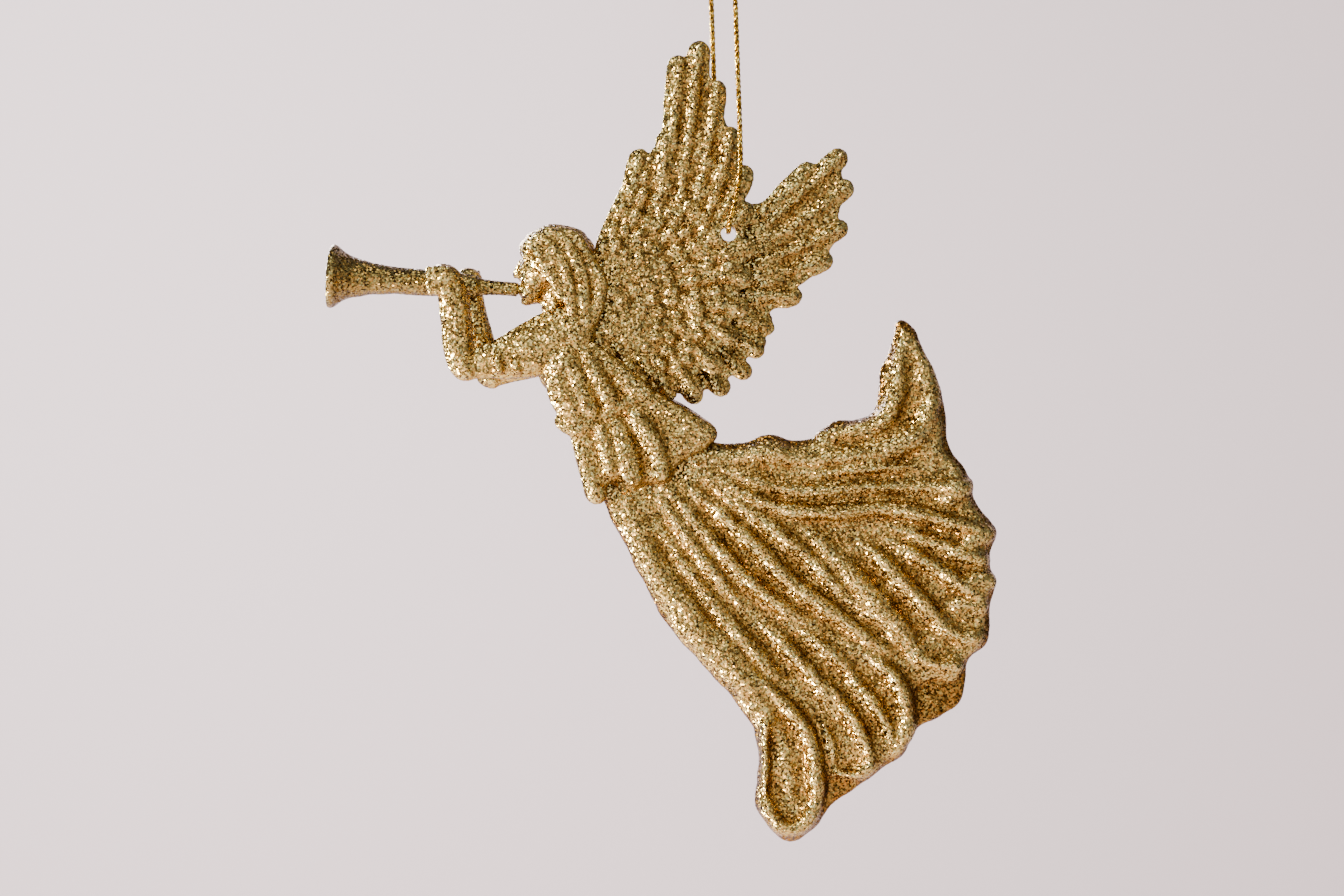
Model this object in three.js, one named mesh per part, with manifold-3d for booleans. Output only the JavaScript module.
// A hanging angel ornament that blows a trumpet: eight glued castings on a loop of cord.
//
// Millimetres, +Z up. +X runs towards the tail of the skirt, and the figure is looked at from -Y.
// The origin is where a hook holds the loop. The figure is drawn with its cord hole at (0, 0) and
// then lowered to where the cord holds it. The plane y = 0 is the parting plane of the castings.

import * as THREE from 'three';
import { mergeVertices } from 'three/addons/utils/BufferGeometryUtils.js';
import Module from 'manifold-3d';

const wasm = await Module();
wasm.setup();

// Overall sizes. The outlines below are drawn at the drawn sizes and stretched to the figure's own.
const FIGURE_WIDTH = 106.5;
const FIGURE_HEIGHT = 129;
const DRAWN_WIDTH = 106.5;
const DRAWN_HEIGHT = 129;

// Joints between the castings.
const GLUE_GAP = 0.3;
const HALF_GAP = GLUE_GAP / 2;

// Cord and the hole that it runs through.
const HOLE_BELOW_HOOK = 70;
const HOLE_RADIUS = 1.25;
const HOLE_DROP = 0.25;
const CORD_DIAMETER = 0.7;
const CORD_SIDES = 8;
const CORD_STEPS = 64;
const KNOT_RADIUS = 1.15;
const KNOT_TAIL = 4.5;

// Wings.
const WING_FACE = 2.3;
const FEATHER_FACE = 1.95;
const LOW_FEATHER_FACE = 1.6;
const FEATHER_BEVEL = 0.35;

// Skirt.
const SKIRT_RIM_HALF = 1.9;
const SKIRT_RIM_BEVEL = 1;
const FOLD_HALF_DEPTH = 3.45;
const WAIST_FOLD_HALF_DEPTH = 2.9;

// Torso, head and arms.
const BODICE_HALF_DEPTH = 5.6;
const TUNIC_HALF_DEPTH = 5.2;
const HEAD_HALF_DEPTH = 5.2;
const NECK_RADIUS = 2.4;
const SLEEVE_RADIUS = 3;
const CUFF_RADIUS = 2.3;
const ELBOW_RADIUS = 1.95;
const WRIST_RADIUS = 1.6;
const WRIST_DROP = 3;
const NEAR_HAND_RADIUS = 2.75;
const FAR_HAND_RADIUS = 2.4;
const HAND_OFFSET = 1.1;
const SHOULDER_PEG_RADIUS = 1.5;
const ARM_OFFSET = 2.4;

// Trumpet, measured along its axis from the mouthpiece.
const TRUMPET_LENGTH = 30.6;
const TRUMPET_RISE = 6.2;
const BELL_RADIUS = 5;
const BELL_RIM = 1;
const BELL_DISH = 1.2;
const TUBE_RADIUS = 2.15;
const MOUTHPIECE_RADIUS = 0.95;
const NEAR_HAND_PLACE = 12.4;
const FAR_HAND_PLACE = 7.6;

const MERGE_DISTANCE = 1e-4;
const CAP_STEPS = 3;
const LIMB_SIDES = 12;
const FOLD_CAP_STEPS = 2;
const FOLD_SIDES = 8;
const HORN_SIDES = 18;

const glitter = { color: 0xb8873a, roughness: 0.42, metalness: 0.75 };
const lurex = { color: 0xc79a45, roughness: 0.5, metalness: 0.6 };

// ---------------------------------------------------------------- solids

// A closed geometry as a solid that can be joined and cut.
function solidOf(geometry) {
  const bare = geometry.clone();
  bare.deleteAttribute('normal');
  bare.deleteAttribute('uv');
  const merged = mergeVertices(bare, MERGE_DISTANCE);
  const corners = [];
  for (let first = 0; first < merged.index.count; first += 3) {
    const a = merged.index.getX(first);
    const b = merged.index.getX(first + 1);
    const c = merged.index.getX(first + 2);
    if (a !== b && b !== c && c !== a) corners.push(a, b, c);
  }
  const mesh = new wasm.Mesh({
    numProp: 3,
    vertProperties: merged.attributes.position.array,
    triVerts: new Uint32Array(corners),
  });
  return new wasm.Manifold(mesh);
}

// A solid back as a geometry with flat faces.
function geometryOf(solid) {
  const mesh = solid.getMesh();
  const geometry = new THREE.BufferGeometry();
  geometry.setAttribute('position', new THREE.BufferAttribute(mesh.vertProperties, 3));
  geometry.setIndex(new THREE.BufferAttribute(mesh.triVerts, 1));
  const flat = geometry.toNonIndexed();
  flat.computeVertexNormals();
  return flat;
}

const join = (solids) => solids.reduce((whole, piece) => whole.add(piece));
const cut = (solid, cutters) => cutters.reduce((left, cutter) => left.subtract(cutter), solid);

// A drawn point of the figure, stretched to its real width and height.
const at = (x, z) => new THREE.Vector2(
  x * FIGURE_WIDTH / DRAWN_WIDTH,
  z * FIGURE_HEIGHT / DRAWN_HEIGHT,
);

// A round bar with ball ends between two points of the plane, y deep behind it. Its depth in y is
// halfDepth at the thicker end, and grow makes the cutter for a neighbour's socket.
function limb(from, to, startRadius, endRadius, options = {}) {
  const { y = 0, halfDepth, grow = 0, sides = LIMB_SIDES, caps = CAP_STEPS } = options;
  const start = startRadius + grow;
  const end = endRadius + grow;
  const length = from.distanceTo(to);
  const profile = [];
  for (let step = 0; step <= caps; step += 1) {
    const angle = (step / caps) * Math.PI / 2;
    const across = step === 0 ? 0 : start * Math.sin(angle);
    profile.push(new THREE.Vector2(across, -start * Math.cos(angle)));
  }
  for (let step = 0; step <= caps; step += 1) {
    const angle = (step / caps) * Math.PI / 2;
    const across = step === caps ? 0 : end * Math.cos(angle);
    profile.push(new THREE.Vector2(across, length + end * Math.sin(angle)));
  }
  const geometry = new THREE.LatheGeometry(profile, sides);
  geometry.rotateX(Math.PI / 2);
  const thickest = Math.max(startRadius, endRadius);
  const depth = halfDepth === undefined ? thickest : halfDepth;
  geometry.scale(1, (depth + grow) / (thickest + grow), 1);
  const heading = Math.atan2(to.x - from.x, to.y - from.y);
  geometry.rotateY(heading);
  geometry.translate(from.x, y, from.y);
  return solidOf(geometry);
}

// A chain of limbs through several points.
function chain(points, radii, options) {
  const links = [];
  for (let link = 1; link < points.length; link += 1) {
    links.push(limb(points[link - 1], points[link], radii[link - 1], radii[link], options));
  }
  return join(links);
}

// A ball or egg.
function egg(centre, radii, y = 0, grow = 0) {
  const geometry = new THREE.SphereGeometry(1, LIMB_SIDES, CAP_STEPS * 2);
  geometry.scale(radii[0] + grow, radii[1] + grow, radii[2] + grow);
  geometry.translate(centre.x, y, centre.y);
  return solidOf(geometry);
}

// A flat shape of the plane made solid between two depths, with chamfered edges.
function slab(shape, front, back, { bevel, grow = 0, segments = 3 }) {
  const geometry = new THREE.ExtrudeGeometry(shape, {
    depth: back - front - 2 * bevel + 2 * grow,
    steps: 1,
    curveSegments: segments,
    bevelEnabled: true,
    bevelThickness: bevel,
    bevelSize: bevel,
    bevelOffset: grow - bevel,
    bevelSegments: 1,
  });
  geometry.rotateX(Math.PI / 2);
  geometry.translate(0, back + grow - bevel, 0);
  return solidOf(geometry);
}

// The outline of a feather: two circles and the straight sides between them.
function featherShape(root, tip, rootRadius, tipRadius) {
  const heading = Math.atan2(tip.y - root.y, tip.x - root.x);
  const quarter = Math.acos((rootRadius - tipRadius) / root.distanceTo(tip));
  const shape = new THREE.Shape();
  shape.absarc(tip.x, tip.y, tipRadius, heading - quarter, heading + quarter, false);
  shape.absarc(root.x, root.y, rootRadius, heading + quarter, heading - quarter + 2 * Math.PI, false);
  return shape;
}

// Everything on one side of the parting plane, to half the glue gap from it.
function halfSpace(side) {
  const size = 4 * (FIGURE_WIDTH + FIGURE_HEIGHT);
  const geometry = new THREE.BoxGeometry(size, size, size);
  geometry.translate(0, side * (size / 2 + HALF_GAP), 0);
  return solidOf(geometry);
}

// ---------------------------------------------------------------- trumpet

const lips = at(-34.3, -8.05);
const trumpetAngle = THREE.MathUtils.degToRad(TRUMPET_RISE);

// A point on the trumpet's axis, at a distance from the mouthpiece.
const onTrumpet = (distance) => new THREE.Vector2(
  lips.x - distance * Math.cos(trumpetAngle),
  lips.y + distance * Math.sin(trumpetAngle),
);

// The outside of the horn, as [share of the length, radius], and then the bell's mouth.
const hornSides = [
  [0, MOUTHPIECE_RADIUS],
  [0.16, MOUTHPIECE_RADIUS],
  [0.28, TUBE_RADIUS * 0.72],
  [0.45, TUBE_RADIUS * 0.93],
  [0.66, TUBE_RADIUS],
];
const bellFlare = [[0.8, 0.16], [0.91, 0.46], [0.985, 1], [1, 1]];

function trumpet(grow = 0) {
  const floor = TRUMPET_LENGTH - BELL_DISH;
  const mouthRadius = BELL_RADIUS - BELL_RIM;
  const flare = bellFlare.map(([share, opened]) => {
    return [share, TUBE_RADIUS + (BELL_RADIUS - TUBE_RADIUS) * opened];
  });
  const points = [new THREE.Vector2(0, -grow)];
  for (const [share, radius] of [...hornSides, ...flare]) {
    const along = share === 0 ? -grow : share * TRUMPET_LENGTH;
    points.push(new THREE.Vector2(radius + grow, along));
  }
  points.push(new THREE.Vector2(mouthRadius + grow, TRUMPET_LENGTH));
  points.push(new THREE.Vector2(mouthRadius * 0.6, floor + BELL_DISH * 0.25));
  points.push(new THREE.Vector2(0, floor));
  const geometry = new THREE.LatheGeometry(points, HORN_SIDES);
  geometry.rotateZ(Math.PI / 2);
  geometry.rotateX(Math.PI / 2);
  geometry.rotateY(trumpetAngle);
  geometry.translate(lips.x, 0, lips.y);
  return solidOf(geometry);
}

// ---------------------------------------------------------------- head

function head(grow = 0) {
  const hair = egg(at(-26.8, -4.4), [6.7, HEAD_HALF_DEPTH, 6.3], 0, grow);
  const face = egg(at(-29.9, -5.3), [4.5, HEAD_HALF_DEPTH * 0.78, 5.2], 0, grow);
  const chin = egg(at(-31.4, -8.6), [2.2, 2, 1.9], 0, grow);
  const nose = limb(at(-33.6, -4.2), at(-34.2, -5.6), 0.5, 0.8, { grow });
  const nape = limb(at(-24.2, -4.2), at(-20.6, -5.2), 4.4, 2.6, { halfDepth: 4, grow });
  const neck = limb(at(-27.4, -8.6), at(-26, -13.2), NECK_RADIUS, NECK_RADIUS, { grow });
  return join([hair, face, chin, nose, nape, neck]);
}

// ---------------------------------------------------------------- wings

// One wing: feathers as [root x, root z, tip x, tip z, root radius, tip radius], every other one
// lower, over wide coverts that join them. side is -1 for the near wing and 1 for the far one.
function wing(side, feathers, coverts, grow) {
  const layer = ([x, z, tipX, tipZ, rootRadius, tipRadius], face) => {
    const shape = featherShape(at(x, z), at(tipX, tipZ), rootRadius, tipRadius);
    const front = side < 0 ? -face : HALF_GAP;
    const back = side < 0 ? -HALF_GAP : face;
    return slab(shape, front, back, { bevel: FEATHER_BEVEL, grow });
  };
  const vanes = feathers.map((feather, place) => {
    return layer(feather, place % 2 ? LOW_FEATHER_FACE : FEATHER_FACE);
  });
  const cover = coverts.map((covert) => layer(covert, WING_FACE));
  return join([...vanes, ...cover]);
}

const nearFeathers = [
  [-17.2, -6, -13.7, 12, 3.4, 1.5],
  [-13.5, -6, -9.4, 17, 3.6, 1.6],
  [-12.5, -6, -6.9, 26.3, 3.6, 1.6],
  [-11.5, -6, -3.7, 28.7, 3.4, 1.7],
  [-9.5, -6, -1.1, 22.9, 3.2, 1.5],
  [-8.5, -6, 0.8, 15, 3, 1.4],
  [-7.5, -7, 2.6, 9, 2.8, 1.4],
  [-8, -7, 2.6, 3, 2.6, 1.4],
  [-9, -8, 2.2, -3, 2.6, 1.4],
  [-10, -9, 1.5, -7.8, 2.6, 1.4],
  [-11, -11, 0.7, -12.3, 2.6, 1.3],
  [-12, -13, -0.8, -17, 2.4, 1.3],
  [-13, -14, -3.2, -21.6, 2.4, 1.3],
  [-14, -15, -6.8, -25.1, 2.4, 1.2],
];

const nearCoverts = [
  [-15.2, -8.5, -8.5, 4, 6, 5.2],
  [-15, -10, -4.5, -3, 5.5, 4.6],
  [-15.5, -12, -7.5, -13.5, 5, 4.2],
];

const farFeathers = [
  [-4, -4, 14, 8.9, 3.6, 1.5],
  [-3, -5, 18.5, 11, 3.6, 1.5],
  [-3, -6, 18.9, 6.2, 3.4, 1.5],
  [-4, -7, 17.6, 0.1, 3.4, 1.5],
  [-5, -8, 15.2, -5.2, 3.2, 1.4],
  [-6, -9, 9.7, -10.6, 3, 1.4],
  [-8, -10, 5.1, -15.7, 2.8, 1.3],
  [-9, -11, 3.5, -19.1, 2.8, 1.3],
  [-10, -12, 1.6, -22.4, 2.6, 1.2],
  [-11, -13, -1.9, -25, 2.6, 1.2],
  [-13, -14, -6.9, -26.3, 2.6, 1.1],
];

const farCoverts = [
  [-14, -9, 1, -1, 5.5, 4.4],
  [-14, -11, 2.5, -6.5, 5, 3.8],
  [-14, -12, -4.5, -14, 4.6, 3.6],
];

const nearWing = (grow = 0) => wing(-1, nearFeathers, nearCoverts, grow);
const farWing = (grow = 0) => wing(1, farFeathers, farCoverts, grow);

function cordHole() {
  const geometry = new THREE.CylinderGeometry(HOLE_RADIUS, HOLE_RADIUS, 4 * WING_FACE, 24);
  geometry.translate(0, 0, -HOLE_DROP);
  return solidOf(geometry);
}

// ---------------------------------------------------------------- skirt

const skirtOutline = [
  [-21, -42.3], [-18.6, -49.4], [-14.6, -56.2], [-13, -61.4], [-8.6, -66.6], [-3.4, -71.4],
  [0.2, -76.2], [1.6, -81], [2, -86], [1.2, -91.4], [3.4, -96.4], [6.2, -98.4], [9.8, -96.9],
  [13.5, -92.6], [18.4, -89.3], [22.2, -86.5], [25.5, -84.3], [27.4, -80.8], [31, -79.4],
  [34.6, -76.9], [35.8, -72.6], [39.4, -67], [39.8, -62.1], [41.1, -57.8], [40.3, -54.3],
  [41.3, -49.6], [38.1, -44], [37, -39.6], [34.2, -35.6], [34, -29.6], [32.2, -24.4],
  [30.4, -19.6], [28.9, -16], [26.9, -15], [25.8, -17.6], [25.2, -20.7], [23.6, -23.2],
  [23, -28], [21.2, -30.8], [16.2, -30.9], [12.4, -33.4], [8.6, -33.7], [4.8, -32.7],
  [1.4, -33.8], [-4, -33.6], [-12, -33.4], [-19, -35.4],
];

// Folds run from the waist to the hem: each is its points and the radius at each of them.
const skirtFolds = [
  { points: [[-17.4, -43], [-11.4, -57.4], [-2, -68.4], [5, -80.6]], radii: [1.9, 2.7, 3.2, 3.3] },
  { points: [[5, -80.6], [6.5, -92.4]], radii: [3.3, 4.6] },
  { points: [[-14, -42], [-2.6, -60.4], [7.6, -73], [11, -86.6]], radii: [1.8, 2.3, 2.6, 1.9] },
  { points: [[-11, -41], [2.4, -58], [13.4, -72], [18.4, -86]], radii: [1.8, 2.3, 2.6, 1.8] },
  { points: [[-8.6, -39.8], [7.4, -56], [19, -69], [24.2, -81.4]], radii: [1.8, 2.4, 2.7, 2.2] },
  { points: [[-6.4, -38.8], [13, -54], [24.6, -64.2], [32.6, -73.6]], radii: [1.8, 2.4, 2.6, 2.1] },
  { points: [[-5, -38], [17, -50.2], [30.2, -59], [37, -64.6]], radii: [1.8, 2.3, 2.5, 2.1] },
  { points: [[-4, -37.2], [19, -45.6], [32.4, -52.8], [38, -57]], radii: [1.8, 2.2, 2.4, 2] },
  { points: [[-2, -36.4], [21, -41.2], [32.6, -46.6], [38, -50]], radii: [1.7, 2.1, 2.3, 2] },
  { points: [[4, -35.6], [24, -37.4], [34.6, -42]], radii: [1.6, 2.1, 1.9] },
  { points: [[16, -33.4], [25, -33.4], [29.6, -28.8], [27.6, -17.6]], radii: [1.6, 2.4, 2.8, 1.1] },
];

function skirt(grow = 0) {
  const shape = new THREE.Shape();
  const outline = skirtOutline.map(([x, z]) => at(x, z));
  shape.moveTo(outline[0].x, outline[0].y);
  shape.splineThru([...outline.slice(1), outline[0].clone()]);
  const sheet = slab(shape, -SKIRT_RIM_HALF, SKIRT_RIM_HALF, {
    bevel: SKIRT_RIM_BEVEL, grow, segments: 2,
  });
  const folds = skirtFolds.map(({ points, radii }) => {
    const drawn = points.map(([x, z]) => at(x, z));
    const links = [];
    for (let link = 1; link < drawn.length; link += 1) {
      const nearWaist = link === 1 && points[0][0] < 0;
      const halfDepth = nearWaist ? WAIST_FOLD_HALF_DEPTH : FOLD_HALF_DEPTH;
      links.push(limb(drawn[link - 1], drawn[link], radii[link - 1], radii[link], {
        halfDepth, grow, sides: FOLD_SIDES, caps: FOLD_CAP_STEPS,
      }));
    }
    return join(links);
  });
  return join([sheet, ...folds]);
}

// ---------------------------------------------------------------- arms

function nearArm(grow = 0) {
  const y = -ARM_OFFSET;
  const shoulder = at(-28.4, -18.2);
  const cuff = at(-40, -19.6);
  const elbow = at(-43.3, -20.3);
  const hand = onTrumpet(NEAR_HAND_PLACE);
  const wrist = new THREE.Vector2(hand.x + 1, hand.y - WRIST_DROP);
  const peg = limb(shoulder, at(-24.4, -18.4), SHOULDER_PEG_RADIUS, SHOULDER_PEG_RADIUS, { y, grow });
  const sleeve = limb(shoulder, cuff, SLEEVE_RADIUS, CUFF_RADIUS, { y, grow });
  const elbowEnd = limb(cuff, elbow, CUFF_RADIUS, ELBOW_RADIUS, { y, grow });
  const forearm = limb(elbow, wrist, ELBOW_RADIUS, WRIST_RADIUS, { y, grow });
  const fist = egg(hand, [2.3, NEAR_HAND_RADIUS, NEAR_HAND_RADIUS], -HAND_OFFSET, grow);
  return join([peg, sleeve, elbowEnd, forearm, fist]);
}

function farArm(grow = 0) {
  const y = ARM_OFFSET;
  const shoulder = at(-28.4, -18.4);
  const elbow = at(-39.2, -21.7);
  const hand = onTrumpet(FAR_HAND_PLACE);
  const wrist = new THREE.Vector2(hand.x + 0.2, hand.y - WRIST_DROP);
  const peg = limb(shoulder, at(-24.4, -18.6), SHOULDER_PEG_RADIUS, SHOULDER_PEG_RADIUS, { y, grow });
  const sleeve = limb(shoulder, elbow, SLEEVE_RADIUS, ELBOW_RADIUS, { y, grow });
  const forearm = limb(elbow, wrist, ELBOW_RADIUS, WRIST_RADIUS, { y, grow });
  const fist = egg(hand, [2.1, FAR_HAND_RADIUS, FAR_HAND_RADIUS], HAND_OFFSET, grow);
  return join([peg, sleeve, forearm, fist]);
}

// ---------------------------------------------------------------- torso

function torso() {
  const deep = { halfDepth: BODICE_HALF_DEPTH };
  const soft = { halfDepth: TUNIC_HALF_DEPTH };
  const bodice = chain(
    [at(-22.6, -16.4), at(-25.6, -24.4), at(-21.4, -30.6), at(-15, -31)],
    [5.2, 4.7, 4.6, 4.4],
    deep,
  );
  const back = limb(at(-18.4, -20), at(-12.6, -30), 5, 4, soft);
  const lobes = [
    limb(at(-21.6, -33), at(-22.7, -40.2), 2.9, 1.9, soft),
    limb(at(-19, -33), at(-18.4, -38.2), 3.2, 2.6, soft),
    limb(at(-15.4, -32), at(-14.8, -37.8), 3.6, 2.8, soft),
    limb(at(-12, -31), at(-9.6, -35.6), 3.6, 2.9, soft),
    limb(at(-11, -30.2), at(-5.4, -32.1), 3.2, 2.1, soft),
  ];
  return join([bodice, back, ...lobes]);
}

// ---------------------------------------------------------------- cord and knot

// The cord leaves the knot, comes down in front of the wings, turns through the hole and goes up
// behind them. These points are the route as it hangs.
const cordRoute = [
  [0.6, -0.6, -0.5], [1.55, -1.4, -3], [2, -1.8, -6], [2.25, -2.2, -12], [2.32, -2.5, -20],
  [2.35, -2.75, -28], [2.35, -3, -37], [2.35, -3.25, -46], [2.35, -3.5, -54], [2.2, -3.68, -60],
  [1.55, -3.78, -64], [0.75, -3.9, -67], [0.2, -3.85, -68.4], [0, -3.2, -69.45], [0, -1.9, -69.75],
  [0, 0, -69.78], [0, 1.9, -69.75], [0, 3.2, -69.45], [-0.1, 3.85, -68.4], [-0.35, 3.9, -67],
  [-0.75, 3.78, -64], [-1.15, 3.68, -60], [-1.35, 3.5, -54], [-1.4, 3.25, -46], [-1.4, 3, -37],
  [-1.4, 2.75, -28], [-1.38, 2.5, -20], [-1.35, 2.2, -12], [-1.3, 1.8, -6], [-1.15, 1.4, -3],
  [-0.6, 0.6, -0.5],
];

function hangCord() {
  const route = new THREE.CatmullRomCurve3(cordRoute.map((point) => new THREE.Vector3(...point)));
  const section = new THREE.Shape();
  for (let side = 0; side < CORD_SIDES; side += 1) {
    const angle = (side / CORD_SIDES) * 2 * Math.PI;
    const x = CORD_DIAMETER / 2 * Math.cos(angle);
    const y = CORD_DIAMETER / 2 * Math.sin(angle);
    if (side === 0) section.moveTo(x, y);
    else section.lineTo(x, y);
  }
  return new THREE.ExtrudeGeometry(section, {
    steps: CORD_STEPS, bevelEnabled: false, extrudePath: route,
  });
}

function cordKnot() {
  const ball = egg(new THREE.Vector2(0, KNOT_RADIUS), [KNOT_RADIUS, KNOT_RADIUS, KNOT_RADIUS * 1.1]);
  const tails = [-1, 1].map((side) => limb(
    new THREE.Vector2(0, KNOT_RADIUS * 1.5),
    new THREE.Vector2(side * KNOT_TAIL * 0.35, KNOT_RADIUS * 1.5 + KNOT_TAIL),
    CORD_DIAMETER / 2,
    CORD_DIAMETER / 2,
  ));
  return join([ball, ...tails]);
}

// ---------------------------------------------------------------- assembly

function piece(name, geometry, look) {
  const mesh = new THREE.Mesh(geometry, new THREE.MeshStandardMaterial(look));
  mesh.name = name;
  return mesh;
}

const horn = trumpet();
const hornSocket = trumpet(GLUE_GAP);
const neckSocket = head(GLUE_GAP);
const nearArmSolid = cut(nearArm(), [hornSocket, neckSocket]).intersect(halfSpace(-1));
const farArmSolid = cut(farArm(), [hornSocket, neckSocket]).intersect(halfSpace(1));
const headSolid = cut(head(), [hornSocket]);
const nearWingSolid = cut(nearWing(), [neckSocket, cordHole()]);
const farWingSolid = cut(farWing(), [neckSocket, cordHole()]);
const skirtSolid = skirt();
const torsoSolid = cut(torso(), [
  neckSocket,
  nearWing(GLUE_GAP),
  farWing(GLUE_GAP),
  skirt(GLUE_GAP),
  nearArm(GLUE_GAP),
  farArm(GLUE_GAP),
]);

const figure = new THREE.Group();
figure.position.z = -HOLE_BELOW_HOOK;
figure.add(
  piece('head', geometryOf(headSolid), glitter),
  piece('torso', geometryOf(torsoSolid), glitter),
  piece('skirt', geometryOf(skirtSolid), glitter),
  piece('near_arm', geometryOf(nearArmSolid), glitter),
  piece('far_arm', geometryOf(farArmSolid), glitter),
  piece('near_wing', geometryOf(nearWingSolid), glitter),
  piece('far_wing', geometryOf(farWingSolid), glitter),
  piece('trumpet', geometryOf(horn), glitter),
);

const ornament = new THREE.Group();
ornament.add(
  figure,
  piece('hang_cord', hangCord(), lurex),
  piece('cord_knot', geometryOf(cordKnot()), lurex),
);

export default ornament;
